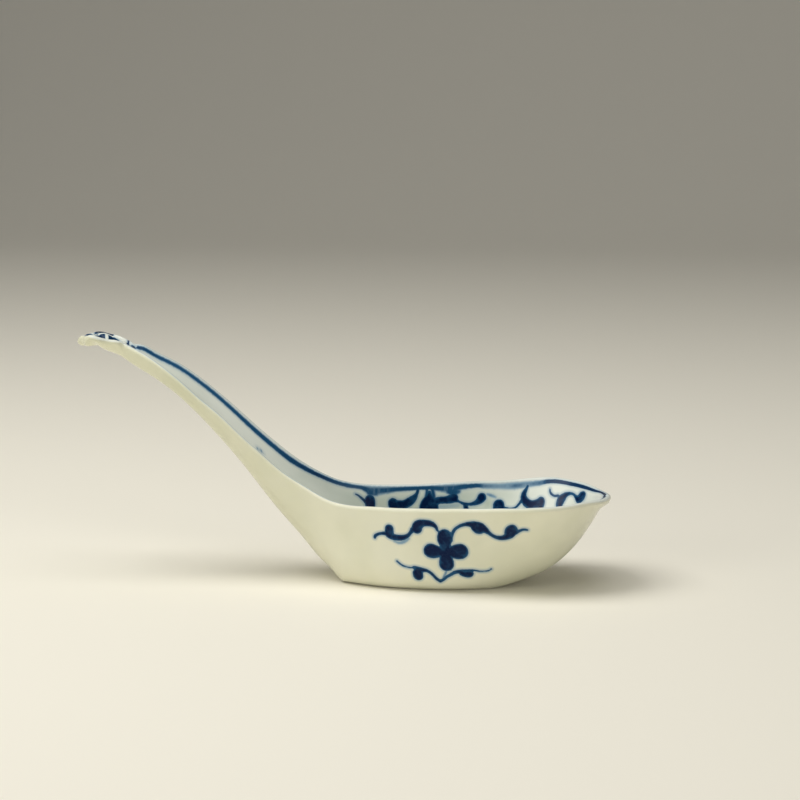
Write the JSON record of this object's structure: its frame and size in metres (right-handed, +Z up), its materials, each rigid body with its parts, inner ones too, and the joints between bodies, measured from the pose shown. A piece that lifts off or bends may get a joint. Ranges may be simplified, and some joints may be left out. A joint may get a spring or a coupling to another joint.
{
  "type": "pierced spoon",
  "caption": "Porcelain spoon with a deep pear-shaped bowl, drain holes in its flat foot, a trough-shaped handle that sweeps up from the heel, and a moulded flower on the end",
  "frame": {"origin": "middle of the foot's flat face, where the spoon stands", "axes": "+X along the spoon towards the lip of the bowl, +Y across it, +Z up when it stands on its foot"},
  "size_m": [0.1387, 0.0452, 0.0616],
  "materials": {
    "body_porcelain": "gloss",
    "flower_porcelain": "gloss",
    "bead_porcelain": "gloss"
  },
  "bodies": {
    "root": {"bowl": "body_porcelain", "handle": "body_porcelain", "flower": "flower_porcelain", "bead": "bead_porcelain"}
  },
  "joints": []
}
